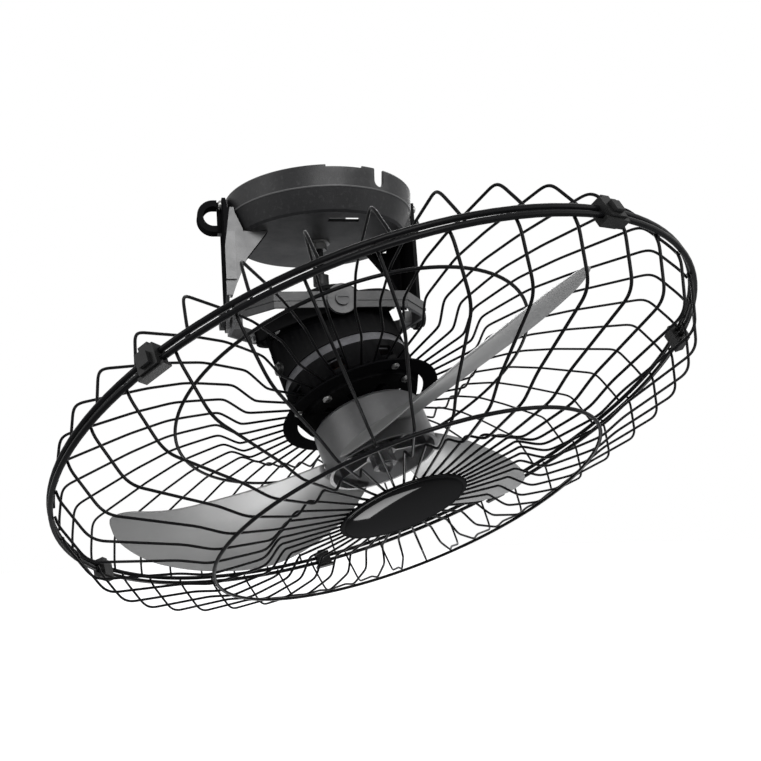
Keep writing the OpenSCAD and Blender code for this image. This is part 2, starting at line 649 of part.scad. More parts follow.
// A toothed disc. Its tips stop just short of the pitch circle, so meshing discs never touch.
function tooth_ring(n, tip, root) = [for (i = [0:n - 1]) for (k = [0:3])
  let (a = 360 / n * (i + [-0.3, -0.16, 0.16, 0.3][k]), r = [root, tip, tip, root][k])
  [r * cos(a), r * sin(a)]];
module toothed(n, t) linear_extrude(t)
  polygon(tooth_ring(n, gear_m * n / 2 - mesh_gap, gear_m * (n / 2 - 0.9)));

module layshaft(angle, stage) color("#d9d4c4") in_head() rotate([0, 0, angle])
  translate([gear_dist, 0, 0]) {
    translate([0, 0, level[stage]]) toothed(gear_teeth, gear_t);
    translate([0, 0, level[stage] + gear_t]) toothed(pinion_teeth, level[1] - level[0] + 0.1);
    rod(-gear_floor - 1.5, lid_z + 1.4, spindle_r);
  }
module layshaft_1() layshaft(lay_1, 0);
module layshaft_2() layshaft(lay_2, 1);
module crank_gear() color("#d9d4c4") in_head() rotate([0, 0, crank_rest]) {
  translate([0, 0, level[2]]) toothed(gear_teeth, gear_t);
  rod(level[2] + gear_t, crank_z, crank_spindle_r);
}
module crank_disc() color("#5c5e60") in_head() rotate([0, 0, crank_rest]) difference() {
  union() {
    rod(crank_z + seat, crank_z + crank_t, crank_r - 5);
    translate([crank_reach * sin(tilt), 0, crank_z + seat]) cylinder(h = crank_t - seat, r = 5.4);
  }
}
module crank_pin() color("#c4c6c8") in_head() rotate([0, 0, crank_rest])
  translate([crank_reach * sin(tilt), 0, 0]) {
    rod(crank_z + crank_t + seat, crank_z + crank_t + 1.6, 4);
    rod(crank_z + crank_t + 1, crank_reach * cos(tilt), 2);
    translate([0, 0, crank_reach * cos(tilt)]) sphere(r = ball_r);
  }

// ---- propeller ----
module hub() color("#3c3d40") in_head() difference() {
  union() {
    rotate_extrude() polygon([[sleeve_r - 1, -hub_top - hub_wall], [hub_r - hub_wall - 3, -hub_top - hub_wall],
      [hub_r - hub_wall, -hub_top - hub_wall - 3], [hub_r - hub_wall, -hub_top - hub_h],
      [hub_r, -hub_top - hub_h], [hub_r, -hub_top - 3], [hub_r - 3, -hub_top], [sleeve_r - 1, -hub_top]]);
    rod(-hub_top - sleeve_l, -hub_top + 3, sleeve_r);
    around(6, 10) translate([sleeve_r - 1, -1, -hub_top - hub_h + 8])
      cube([hub_r - hub_wall - sleeve_r + 2, 2, hub_h - 10]);
  }
  rod(-hub_top - sleeve_l - 1, -hub_top + 4, hub_bore_r);
}
module hub_nut() color("#55565a") in_head() difference() {
  union() {
    rod(-hub_top - sleeve_l - 9, -hub_top - sleeve_l - seat, 9);
    translate([0, 0, -hub_top - sleeve_l - 9]) sphere(r = 5.5);
  }
  rod(-hub_top - hub_h - 1.5, -hub_top - sleeve_l + 1, shaft_r + 0.02);
  around(10) translate([9.4, 0, -hub_top - sleeve_l - 15]) cylinder(h = 20, r = 1, $fn = 16);
}

// Blade outline: angle of each edge by radius, and depth of each edge by radius.
blade_root_r = hub_r + 0.35;
function lead_angle(r) = lookup(r, [[hub_r, 57], [80, 58], [120, 60], [160, 62], [200, 65]]);
function trail_angle(r) = lookup(r, [[hub_r, -24], [80, -1], [120, 18], [160, 36], [200, 53]]);
function lead_depth(r) = lookup(r, [[hub_r, blade_lead_z + 2], [80, blade_lead_z + 5], [120, blade_lead_z + 7],
  [160, blade_lead_z + 7], [blade_r, blade_lead_z]]);
function trail_depth(r) = lookup(r, [[hub_r, blade_trail_z - 17], [80, blade_trail_z + 2],
  [120, blade_trail_z + 12], [160, blade_trail_z + 5], [blade_r, blade_trail_z - 11]]);
tip_start = 0.87;
function tip_in(u) = u < tip_start ? 1 : 0.25 + 0.75 * sqrt(1 - pow((u - tip_start) / (1 - tip_start), 2));
steps_r = 12;
steps_c = 8;
function blade_point(i, j, up) = let (u = i < steps_r - 2 ? i / steps_r : 1 - pow(1 - i / steps_r, 1.25),
  r = blade_root_r + u * (blade_r - blade_root_r), v = 0.5 + (j / steps_c - 0.5) * tip_in(u),
  a = trail_angle(r) + v * (lead_angle(r) - trail_angle(r)),
  z = -trail_depth(r) + v * (trail_depth(r) - lead_depth(r)) + 4 * camber * v * (1 - v))
  [r * cos(a), r * sin(a), z + up * blade_t];
module blade() {
  w = steps_c + 1;
  n = (steps_r + 1) * w;
  points = [for (up = [1, 0]) for (i = [0:steps_r]) for (j = [0:steps_c]) blade_point(i, j, up)];
  faces = concat(
    [for (i = [0:steps_r - 1]) for (j = [0:steps_c - 1]) for (t = [0, 1]) let (a = i * w + j)
      t == 0 ? [a, a + 1, a + w] : [a + 1, a + w + 1, a + w]],
    [for (i = [0:steps_r - 1]) for (j = [0:steps_c - 1]) for (t = [0, 1]) let (a = n + i * w + j)
      t == 0 ? [a, a + w, a + 1] : [a + 1, a + w, a + w + 1]],
    [for (i = [0:steps_r - 1]) for (t = [0, 1]) let (a = i * w)
      t == 0 ? [a, a + w, a + n] : [a + w, a + w + n, a + n]],
    [for (i = [0:steps_r - 1]) for (t = [0, 1]) let (a = i * w + steps_c)
      t == 0 ? [a, a + n, a + w] : [a + w, a + n, a + w + n]],
    [for (j = [0:steps_c - 1]) for (t = [0, 1]) let (a = j)
      t == 0 ? [a, a + n, a + 1] : [a + 1, a + n, a + n + 1]],
    [for (j = [0:steps_c - 1]) for (t = [0, 1]) let (a = steps_r * w + j)
      t == 0 ? [a, a + 1, a + n] : [a + 1, a + n + 1, a + n]]);
  polyhedron(points, faces);
}
module blade_1() color("#9a9a98") in_head() blade();
module blade_2() color("#9a9a98") in_head() rotate([0, 0, 360 / blade_count]) blade();
module blade_3() color("#9a9a98") in_head() rotate([0, 0, 720 / blade_count]) blade();

// ---- guard ----
module torus(r, z, d) translate([0, 0, -z]) rotate_extrude() translate([r, 0]) circle(d = d, $fn = 24);

// A bent wire in the plane of the head axis, through [radius, depth] points, with six sides.
wire_sides = 6;
function leg(p, i) = (p[i + 1] - p[i]) / norm(p[i + 1] - p[i]);
function across(p, i) = let (a = leg(p, max(i - 1, 0)), b = leg(p, min(i, len(p) - 2)), m = (a + b) / norm(a + b))
  [m[1], -m[0]] / (m * a);
module wire(p) {
  n = len(p);
  s = wire_sides;
  points = [for (i = [0:n - 1]) let (c = across(p, i)) for (k = [0:s - 1])
    let (q = p[i] + wire_r * cos(k * 360 / s) * c) [q[0], wire_r * sin(k * 360 / s), -q[1]]];
  faces = concat(
    [for (i = [0:n - 2]) for (k = [0:s - 1]) for (t = [0, 1]) let (a = i * s + k, b = i * s + (k + 1) % s)
      t == 0 ? [a, b, a + s] : [b, b + s, a + s]],
    [for (k = [1:s - 2]) [0, k + 1, k]],
    [for (k = [1:s - 2]) [(n - 1) * s, (n - 1) * s + k, (n - 1) * s + k + 1]]);
  polyhedron(points, faces);
}
jog_out = mid_r - 32;
jog_in = jog_out - 12;
rear_path = [[wall_r, rim_z + 1.5], [wall_r - 1, rim_z - 6], [corner_r + 1, rear_corner_z + 4],
  [corner_r - 3, rear_corner_z - 0.5], [mid_r + 34, rear_face_z + 6], [mid_r + 6, rear_face_z + 0.4],
  [mid_r - 6, rear_face_z], [jog_out + 2, rear_face_z], [jog_out - 2, rear_face_z + 2],
  [jog_in, wire_in_z - 1.5], [jog_in - 4, wire_in_z - 0.5], [wire_in, wire_in_z]];
front_path = [[wall_r, front_rim_z - 1.5], [wall_r - 1, front_rim_z + 5], [corner_r - 6, front_corner_z - 4],
  [corner_r - 12, front_corner_z + 1], [mid_r + 22, front_face_z - 7], [mid_r + 4, front_face_z - 0.4],
  [mid_r - 6, front_face_z], [jog_out - 2, front_face_z + 0.2], [jog_out - 7, front_face_z - 2],
  [jog_in - 6, front_in_z - 2.5], [jog_in - 11, front_in_z - 2], [cap_r + 4, front_in_z], [26, front_in_z]];
module rear_wires() color("#161616") in_head() around(wire_count, rear_phase) wire(rear_path);
module front_wires() color("#161616") in_head() around(wire_count) wire(front_path);
module rear_rim() color("#121212") in_head() torus(rim_r, rim_z, rim_wire_d);
module front_rim() color("#121212") in_head() torus(rim_r, front_rim_z, rim_wire_d);
module rear_ring() color("#121212") in_head()
  torus(mid_r, rear_face_z + 0.1 + wire_r + mid_wire_d / 2 + seat, mid_wire_d);
module front_ring() color("#121212") in_head()
  torus(mid_r, front_face_z + wire_r + mid_wire_d / 2 + seat, mid_wire_d);
module guard_flange() color("#1b1b1b") in_head() difference() {
  tube(-flange_top - flange_t, -flange_top, flange_out, flange_in);
  around(ear_screw_n, 20) translate([ear_screw_r, 0, -flange_top - flange_t - 1]) cylinder(h = 4, r = 1.7);
}
module flange_screws() color("#8d8d8a") in_head() around(ear_screw_n, 20)
  translate([ear_screw_r, 0, -flange_top - flange_t - seat]) mirror([0, 0, 1]) screw(2.9, 6, 3, 2);
module guard_plate() color("#1b1b1b") in_head() difference() {
  rod(-front_in_z + wire_r + seat, -front_in_z + wire_r + seat + plate_back_t, plate_back_r);
  around(3, 4.5) translate([16, 0, -front_in_z]) cylinder(h = 8, r = 1.5);
}
module cap() color("#0b0b0b") in_head() difference() {
  rotate_extrude() polygon(concat([[0, -cap_z], [cap_r - 1, -cap_z], [cap_r, -cap_z - 1], [cap_r, -cap_z - 2.5]],
    [for (k = [1:6]) let (t = k / 6) [cap_r - 1 - (cap_r - 1) * (1 - cos(90 * t)) * 1,
      -cap_z - 2.5 - (cap_h - 2.5) * sin(90 * t)]]));
  around(3, 4.5) translate([16, 0, -cap_z - 3]) cylinder(h = 8, r = 1.2);
}
module cap_screws() color("#8d8d8a") in_head() around(3, 4.5)
  translate([16, 0, -front_in_z + wire_r + 2 * seat + plate_back_t]) screw(2.3, 6, 2.6, 1.8);

// Clip that wraps both rims, with a hook on its outer side.
module rim_clips() color("#0e0e0e") in_head() for (k = clip_at)
  rotate([0, 0, round(k * wire_count) * 360 / wire_count + clip_phase]) difference() {
    union() {
      translate([rim_r - 4.5, -clip_w / 2, -front_rim_z - 4]) cube([9, clip_w, rim_gap + 8]);
      translate([rim_r + 4, -clip_w / 4, -front_rim_z - 2]) cube([3, clip_w / 2, rim_gap + 2]);
      translate([rim_r - 3, -clip_w / 2 - 2.5, -front_rim_z - 5.5]) cube([6, clip_w + 5, 2]);
      translate([rim_r - 3, -clip_w / 4, -rim_z + 3.5]) cube([7, clip_w / 2, 3]);
    }
    torus(rim_r, rim_z, rim_wire_d + 2 * seat);
    torus(rim_r, front_rim_z, rim_wire_d + 2 * seat);
  }

ceiling_plate();
canopy();
arm_left();
arm_right();
arm_screws();
canopy_knob();
gimbal_frame();
frame_screws();
frame_pins();
stud();
stud_nuts();
capacitor();
terminal_block();
gimbal_ring();
head_pins();
rear_cover();
gear_lid();
lid_screws();
stator();
windings();
front_cover();
cover_screws();
bushes();
cable_gland();
guard_flange();
flange_screws();
rear_rim();
rear_ring();
rear_wires();
front_rim();
front_ring();
front_wires();
guard_plate();
cap();
cap_screws();
rim_clips();
shaft();
rotor_core();
hub();
hub_nut();
blade_1();
blade_2();
blade_3();
layshaft_1();
layshaft_2();
crank_gear();
crank_disc();
crank_pin();
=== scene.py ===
import math
import bmesh
import bpy
from mathutils import Matrix, Vector

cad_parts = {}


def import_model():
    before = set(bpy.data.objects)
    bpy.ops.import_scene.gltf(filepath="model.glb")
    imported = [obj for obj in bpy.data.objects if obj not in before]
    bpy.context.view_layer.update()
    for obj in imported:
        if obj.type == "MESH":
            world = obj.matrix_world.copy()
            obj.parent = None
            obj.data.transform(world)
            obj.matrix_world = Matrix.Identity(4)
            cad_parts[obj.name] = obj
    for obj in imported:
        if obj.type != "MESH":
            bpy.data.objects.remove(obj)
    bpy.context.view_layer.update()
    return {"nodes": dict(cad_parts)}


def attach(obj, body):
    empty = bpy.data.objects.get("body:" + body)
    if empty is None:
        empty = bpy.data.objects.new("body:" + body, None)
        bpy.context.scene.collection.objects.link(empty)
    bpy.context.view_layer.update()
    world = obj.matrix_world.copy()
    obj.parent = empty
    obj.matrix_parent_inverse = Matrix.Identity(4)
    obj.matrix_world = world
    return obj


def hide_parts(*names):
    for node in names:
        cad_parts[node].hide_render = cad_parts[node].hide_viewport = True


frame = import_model()

# Sizes of the pieces are in millimetres, all other lengths in metres.
MM = 0.001

# ---------------------------------------------------------------- the head's place
# The head hangs in a gimbal under the canopy. Its own frame has +Z up along the motor's axis, and
# depths are measured from the gimbal's centre down that axis.
GIMBAL_DROP = 0.098  # from the ceiling to the gimbal's centre
LEAN = math.radians(26.5)  # of the head's axis from upright
RING_TURN = math.radians(-12.7)  # what the ring takes of the lean
HEAD_TURN = -math.acos(math.cos(LEAN) / math.cos(RING_TURN))
HEAD_FRAME = (Matrix.Translation((0, 0, -GIMBAL_DROP)) @ Matrix.Rotation(RING_TURN, 4, "Y")
              @ Matrix.Rotation(HEAD_TURN, 4, "X"))

# ---------------------------------------------------------------- camera
# The photograph's view: from below, a little to the left of the near side.
EYE = Vector((-0.13244, -0.59026, -0.23895))
SIGHT_RIGHT = Vector((0.98678, -0.15337, -0.05227))
SIGHT_UP = Vector((0.03277, -0.12701, 0.99136))
LENS = 35.8
SENSOR = 36
SHIFT_RIGHT = 0.1279
SHIFT_UP = 0.0318
NEAREST = 0.02
FARTHEST = 60


def camera():
    data = bpy.data.cameras.new("camera")
    data.sensor_width = SENSOR
    data.lens = LENS
    data.shift_x = SHIFT_RIGHT
    data.shift_y = SHIFT_UP
    data.clip_start = NEAREST
    data.clip_end = FARTHEST
    cam = bpy.data.objects.new("camera", data)
    back = SIGHT_RIGHT.cross(SIGHT_UP)
    place = Matrix((SIGHT_RIGHT, SIGHT_UP, back)).transposed().to_4x4()
    place.translation = EYE
    cam.matrix_world = place
    bpy.context.scene.collection.objects.link(cam)
    bpy.context.scene.camera = cam


camera()


# ---------------------------------------------------------------- shader nodes
def add(tree, kind, inputs, **settings):
    """A new shader node, with its settings, and its inputs set to a value or linked to a socket."""
    made = tree.nodes.new("ShaderNode" + kind)
    for key, value in settings.items():
        setattr(made, key, value)
    for key, value in inputs.items():
        if isinstance(value, bpy.types.NodeSocket):
            tree.links.new(value, made.inputs[key])
        else:
            made.inputs[key].default_value = value
    return made


def noise(tree, place, scale, detail):
    return add(tree, "TexNoise", {"Vector": place, "Scale": scale, "Detail": detail}).outputs["Fac"]


def ranged(tree, value, low, high, start=0.0, end=1.0):
    """The value carried from start and end to low and high, and held there beyond them."""
    ends = {"Value": value, "From Min": start, "From Max": end, "To Min": low, "To Max": high}
    return add(tree, "MapRange", ends).outputs["Result"]


def laid_over(tree, share, below, above):
    """One colour over another, in the share that the socket gives."""
    return add(tree, "Mix", {0: share, 6: below, 7: above}, data_type="RGBA").outputs[2]


def combine(tree, how, first, second=0.0):
    """One number from two, such as 1 where the first is LESS_THAN the second."""
    return add(tree, "Math", {0: first, 1: second}, operation=how).outputs[0]


def along(tree, direction, of="Position"):
    """How far a point of the surface lies along a direction, or how far its normal leans that way."""
    place = add(tree, "NewGeometry", {}).outputs[of]
    return add(tree, "VectorMath", {0: place, 1: direction}, operation="DOT_PRODUCT").outputs["Value"]


def opaque(color, share=1.0, lift=0.0):
    """The colour times a share and lifted a little, as a shader takes it."""
    return tuple(min(1, c * share + lift) for c in color) + (1,)


# ---------------------------------------------------------------- materials
CLOUD_ENDS = (0.3, 0.72)  # between these heights of the noise the colour goes from dark to light
DUST_ENDS = (0.56, 0.74)  # between these the dust comes in
DUST_FINENESS = 9  # how much finer the dust is than the clouds
DUST_LIFT = (1.7, 0.02)  # dust is the colour times the first, and lifted by the second
GLOSS_FINENESS = 2.3
CLOUD_DETAIL = 6
DUST_DETAIL = 3
GLOSS_DETAIL = 4
GRAIN_DETAIL = 2
LEAST_ROUGH = 0.03
EDGE_ENDS = (0.54, 0.64)  # between these steepnesses an edge is worn
RELIEF = 0.0006  # height of the fine grain
SCATTER = (0.006, 0.006, 0.006)  # how far light goes into white nylon


def material(name, color, rough, metal=0.0, coat=0.0, coat_rough=0.1, vary=0.12, scale=40.0,
             rough_vary=0.1, bump=0.08, grain=900.0, streaks=0.0, dust=0.0, wear=0.0,
             wear_color=(0.25, 0.25, 0.25), ior=1.45, shine=0.5, transmission=0.0, subsurface=0.0):
    """A surface with cloudy colour and gloss, fine grain in its relief, dust, and worn edges."""
    made = bpy.data.materials.new(name)
    made.use_nodes = True
    tree = made.node_tree
    place = add(tree, "TexCoord", {}).outputs["Object"]

    clouds = add(tree, "ValToRGB", {"Fac": noise(tree, place, scale, CLOUD_DETAIL)})
    for element, position, share in zip(clouds.color_ramp.elements, CLOUD_ENDS, (1 - vary, 1 + vary)):
        element.position = position
        element.color = opaque(color, share)
    top = clouds.outputs["Color"]
    if dust > 0:
        specks = noise(tree, place, scale * DUST_FINENESS, DUST_DETAIL)
        top = laid_over(tree, ranged(tree, specks, 0, dust, *DUST_ENDS), top, opaque(color, *DUST_LIFT))
    if wear > 0:
        steep = add(tree, "NewGeometry", {}).outputs["Pointiness"]
        top = laid_over(tree, ranged(tree, steep, 0, wear, *EDGE_ENDS), top, opaque(wear_color))

    gloss = noise(tree, place, scale * GLOSS_FINENESS, GLOSS_DETAIL)
    grained = place
    if streaks > 0:
        grained = add(tree, "Mapping", {"Vector": place, "Scale": (1, 1, streaks)}).outputs["Vector"]
    fine = noise(tree, grained, grain, GRAIN_DETAIL)
    relief = add(tree, "Bump", {"Height": fine, "Strength": bump, "Distance": RELIEF})

    shader = tree.nodes["Principled BSDF"]
    values = {
        "Metallic": metal, "IOR": ior, "Specular IOR Level": shine, "Coat Weight": coat,
        "Coat Roughness": coat_rough, "Transmission Weight": transmission,
        "Subsurface Weight": subsurface, "Subsurface Radius": SCATTER}
    for key, value in values.items():
        shader.inputs[key].default_value = value
    link = tree.links.new
    link(top, shader.inputs["Base Color"])
    smoothest, roughest = max(LEAST_ROUGH, rough - rough_vary), min(1, rough + rough_vary)
    link(ranged(tree, gloss, smoothest, roughest), shader.inputs["Roughness"])
    link(relief.outputs["Normal"], shader.inputs["Normal"])
    return made


BLACK = material("black_coat", (0.004, 0.004, 0.0043), 0.42, bump=0.12, grain=1400, wear=0.3,
                 wear_color=(0.04, 0.04, 0.04), dust=0.25, shine=0.12)
CAST = material("cast_black", (0.0018, 0.0018, 0.002), 0.5, bump=0.35, grain=1800, wear=0.25,
                wear_color=(0.03, 0.03, 0.03), dust=0.08, shine=0.0)
CANOPY = material("canopy_black", (0.009, 0.009, 0.0095), 0.42, bump=0.25, grain=1500, dust=0.35,
                  wear=0.3, wear_color=(0.08, 0.08, 0.08), shine=0.22)
# The left arm's coat: a lighter copy of the black paint, as painted light on that arm.
ARM_LIT_COAT = material("arm_lit_coat", (0.022, 0.022, 0.023), 0.38, bump=0.2, grain=1300, wear=0.4,
                wear_color=(0.12, 0.12, 0.12), dust=0.3, shine=0.4)
BAND = material("band_black", (0.014, 0.014, 0.0145), 0.4, bump=0.2, grain=1300, wear=0.4,
                wear_color=(0.1, 0.1, 0.1), dust=0.3, shine=0.25)
WIRE = material("wire_coat", (0.003, 0.003, 0.0033), 0.34, bump=0.05, grain=700, shine=0.05)
GLOSS = material("gloss_black", (0.002, 0.002, 0.0022), 0.5, rough_vary=0.04, bump=0.006, grain=300,
                 shine=0.0, coat=0.09, coat_rough=0.05)
FLANGE = material("flange_coat", (0.004, 0.004, 0.0043), 0.6, bump=0.1, grain=1200, shine=0.0)
PLASTIC = material("black_plastic", (0.005, 0.005, 0.005), 0.45, bump=0.2, grain=1200, shine=0.15)
PIN = material("dark_pin", (0.02, 0.02, 0.021), 0.4, bump=0.15, grain=900, wear=0.3,
               wear_color=(0.1, 0.1, 0.1), shine=0.2)
ZINC = material("zinc", (0.20, 0.20, 0.195), 0.4, metal=1.0, bump=0.15, grain=900, wear=0.2)
STEEL = material("ground_steel", (0.56, 0.56, 0.57), 0.2, metal=1.0, bump=0.1, grain=1500,
                 streaks=0.05)
SHEETS = material("stator_sheets", (0.085, 0.085, 0.09), 0.42, metal=1.0, bump=0.6, grain=700,
                  streaks=14.0, vary=0.2)
COPPER = material("winding_copper", (0.055, 0.028, 0.016), 0.4, metal=1.0, bump=0.5, grain=500,
                  streaks=9.0)
BRONZE = material("bush_bronze", (0.50, 0.36, 0.18), 0.4, metal=1.0, bump=0.3, grain=1600)
WHITE = material("white_plastic", (0.72, 0.72, 0.69), 0.4, bump=0.1, dust=0.1, vary=0.05)
NYLON = material("gear_nylon", (0.70, 0.67, 0.58), 0.42, bump=0.1, subsurface=0.1, vary=0.06)
HUB = material("hub_plastic", (0.11, 0.11, 0.113), 0.36, bump=0.12, grain=1000, dust=0.2, vary=0.2,
               transmission=0.75, ior=1.49, shine=0.2)
BLADE = material("blade_plastic", (0.168, 0.168, 0.166), 0.36, transmission=0.3, ior=1.49, bump=0.05,
                 grain=300, vary=0.16, scale=11, dust=0.08, shine=0.3)

# The material of each node of the CAD that stays in sight.
LOOKS = {
    # arm_left wears a lit copy and arm_right a shaded copy of what is one paint: painted light and
    # painted shade.
    "ceiling_plate": BLACK, "canopy": CANOPY, "arm_left": ARM_LIT_COAT, "arm_right": CAST, "arm_screws": ZINC,
    "canopy_knob": PLASTIC, "gimbal_frame": BAND, "frame_screws": BLACK, "frame_pins": PIN,
    "stud": BLACK, "stud_nuts": ZINC, "capacitor": WHITE, "terminal_block": WHITE,
    "gimbal_ring": CAST, "head_pins": PIN, "rear_cover": CAST, "gear_lid": CAST, "lid_screws": PIN,
    "stator": SHEETS, "windings": COPPER, "front_cover": CAST, "cover_screws": ZINC,
    "bushes": BRONZE, "cable_gland": PLASTIC, "guard_flange": FLANGE, "flange_screws": ZINC,
    "rear_rim": WIRE, "rear_ring": WIRE, "front_rim": WIRE, "front_ring": WIRE,
    "guard_plate": BLACK, "cap_screws": ZINC, "rim_clips": PLASTIC, "shaft": STEEL,
    "rotor_core": SHEETS, "hub": HUB, "hub_nut": HUB, "layshaft_1": NYLON, "layshaft_2": NYLON,
    "crank_gear": NYLON, "crank_disc": BLACK, "crank_pin": STEEL}

# ---------------------------------------------------------------- painted shade and painted highlight that change over a piece
WEB_X = -0.0836  # the left arm's web ends here and its loop begins
STRIP_X = -0.0732  # the edge of the strip of painted shade, at the height of the ceiling
STRIP_SLOPE = 0.155  # how fast the strip narrows on its way down
# the colour of the painted shade on the left arm's web, loop and strip
PAINTED_SHADE_COLOR = (0.006, 0.006, 0.0063)
GLINT = 0.4
STEP_Z = -0.016  # height of the step round the canopy
STEP_HALF = 0.0005  # half the height of the line of painted highlight
# the colour of the painted highlight along the step
STEP_HIGHLIGHT_COLOR = (0.07, 0.07, 0.07)
SIDEWAYS = 0.7  # a face whose normal leans more than this to a side belongs to the web
FRONTWAYS = -0.5  # and one that leans less than this along Y is a front one


def over_coat(made, share, color):
    """Lays another colour over the coat of a material."""
    coat = made.node_tree.nodes["Principled BSDF"].inputs["Base Color"]
    mixed = laid_over(made.node_tree, share, coat.links[0].from_socket, opaque(color))
    made.node_tree.links.new(mixed, coat)


def paint_shade_on_web(made):
    """Leaves the lamp's glint to the arm's front plate. Web, loop and a tapering strip get painted
    shade: a darker colour laid over the coat, and no glint.
    """
    tree = made.node_tree
    loop = combine(tree, "LESS_THAN", along(tree, (1, 0, 0)), WEB_X)
    side = combine(tree, "ABSOLUTE", along(tree, (1, 0, 0), "Normal"))
    web = combine(tree, "GREATER_THAN", side, SIDEWAYS)
    beside = combine(tree, "LESS_THAN", along(tree, (1, 0, -STRIP_SLOPE)), STRIP_X)
    front = combine(tree, "LESS_THAN", along(tree, (0, 1, 0), "Normal"), FRONTWAYS)
    strip = combine(tree, "MULTIPLY", beside, front)
    # where the arm gets painted shade
    painted_shade = combine(tree, "MAXIMUM", loop, combine(tree, "MAXIMUM", web, strip))
    over_coat(made, painted_shade, PAINTED_SHADE_COLOR)
    glint = ranged(tree, painted_shade, GLINT, 0)
    tree.links.new(glint, tree.nodes["Principled BSDF"].inputs["Specular IOR Level"])


def paint_step_highlight(made):
    """Paints a lighter line along the canopy's step: a painted highlight of its edge."""
    tree = made.node_tree
    near = add(tree, "Math", {0: along(tree, (0, 0, 1)), 1: STEP_Z, 2: STEP_HALF}, operation="COMPARE")
    over_coat(made, near.outputs[0], STEP_HIGHLIGHT_COLOR)


paint_shade_on_web(ARM_LIT_COAT)
paint_step_highlight(CANOPY)

# ---------------------------------------------------------------- the CAD's own nodes
SHARP = math.radians(28)  # faces that meet at less than this are shaded as one


def dress(obj, look):
    obj.data.materials.clear()
    obj.data.materials.append(look)


for name, look in LOOKS.items():
    dress(frame["nodes"][name], look)
for obj in frame["nodes"].values():
    for face in obj.data.polygons:
        face.use_smooth = True
    obj.data.set_sharp_from_angle(angle=SHARP)


# ---------------------------------------------------------------- the scene's pieces
def piece(name, verts, faces, body, look, node):
    """A smooth piece that replaces a node, from points in metres in the shared frame."""
    mesh = bpy.data.meshes.new(name)
    mesh.from_pydata([tuple(v) for v in verts], [], faces)
    mesh.update()
    bm = bmesh.new()
    bm.from_mesh(mesh)
    bmesh.ops.recalc_face_normals(bm, faces=bm.faces)
    bm.to_mesh(mesh)
    bm.free()
    for face in mesh.polygons:
        face.use_smooth = True
    obj = bpy.data.objects.new(name, mesh)
    bpy.context.scene.collection.objects.link(obj)
    dress(obj, look)
    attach(obj, body)
    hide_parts(node)


def bands(rows, sides, first=0):
    """The faces between rows of points that go round, with a flat face at each end."""
    faces = []
    for i in range(rows - 1):
        for k in range(sides):
            a, b = first + i * sides + k, first + i * sides + (k + 1) % sides
            faces.append((a, b, b + sides, a + sides))
    last = first + (rows - 1) * sides
    faces.append(tuple(first + k for k in range(sides)))
    faces.append(tuple(last + k for k in reversed(range(sides))))
    return faces


# ---------------------------------------------------------------- guard wires
# Each wire is bent in one plane through the head's axis. A path's points are (radius, depth).
WIRES = 40
WIRE_R = 0.9
WIRE_SIDES = 10
BEND_R = 5.0
BEND_SHARE = 0.45  # a bend takes no more than this of the stretch beside it
BEND_STEPS = 4
REAR_PHASE = 2.4  # degrees that the rear wires stand past the front ones
RIM_R = 235
RIM_WIRE_R = 1.7
SEAT = 0.05  # play between two pieces that lie against each other
WALL_R = RIM_R - RIM_WIRE_R - WIRE_R - SEAT
CORNER_R = 225.5
MID_R = 141  # the middle rings
JOG_OUT = MID_R - 32
JOG_IN = JOG_OUT - 12
WIRE_IN = 59.6
WIRE_IN_Z = 84
REAR_RIM_Z = 119.5
REAR_CORNER_Z = 90
REAR_FACE_Z = 70.5
FRONT_RIM_Z = 124.1
FRONT_CORNER_Z = 158
FRONT_FACE_Z = 177.5
FRONT_IN_Z = 169
CAP_R = 47.7
PLATE_R = 26  # the front wires end here, on the guard's back plate
REAR = [
    (WALL_R, REAR_RIM_Z + 1.5), (WALL_R - 1, REAR_RIM_Z - 6), (CORNER_R + 1, REAR_CORNER_Z + 4),
    (CORNER_R - 3, REAR_CORNER_Z - 0.5), (MID_R + 34, REAR_FACE_Z + 6), (MID_R + 6, REAR_FACE_Z + 0.4),
    (MID_R - 6, REAR_FACE_Z), (JOG_OUT + 2, REAR_FACE_Z), (JOG_OUT - 2, REAR_FACE_Z + 2),
    (JOG_IN, WIRE_IN_Z - 1.5), (JOG_IN - 4, WIRE_IN_Z - 0.5), (WIRE_IN, WIRE_IN_Z)]
FRONT = [
    (WALL_R, FRONT_RIM_Z - 1.5), (WALL_R - 1, FRONT_RIM_Z + 5), (CORNER_R - 6, FRONT_CORNER_Z - 4),
    (CORNER_R - 12, FRONT_CORNER_Z + 1), (MID_R + 22, FRONT_FACE_Z - 7), (MID_R + 4, FRONT_FACE_Z - 0.4),
    (MID_R - 6, FRONT_FACE_Z), (JOG_OUT - 2, FRONT_FACE_Z + 0.2), (JOG_OUT - 7, FRONT_FACE_Z - 2),
    (JOG_IN - 6, FRONT_IN_Z - 2.5), (JOG_IN - 11, FRONT_IN_Z - 2), (CAP_R + 4, FRONT_IN_Z),
    (PLATE_R, FRONT_IN_Z)]


def rounded(points):
    """The same path with a short curve at each bend."""
    out = [Vector(points[0])]
    for a, b, c in zip(points, points[1:], points[2:]):
        a, b, c = Vector(a), Vector(b), Vector(c)
        before = min(BEND_R, (a - b).length * BEND_SHARE)
        after = min(BEND_R, (c - b).length * BEND_SHARE)
        p, q = b + (a - b).normalized() * before, b + (c - b).normalized() * after
        for k in range(BEND_STEPS + 1):
            t = k / BEND_STEPS
            out.append(p.lerp(b, t).lerp(b.lerp(q, t), t))
    out.append(Vector(points[-1]))
    return out


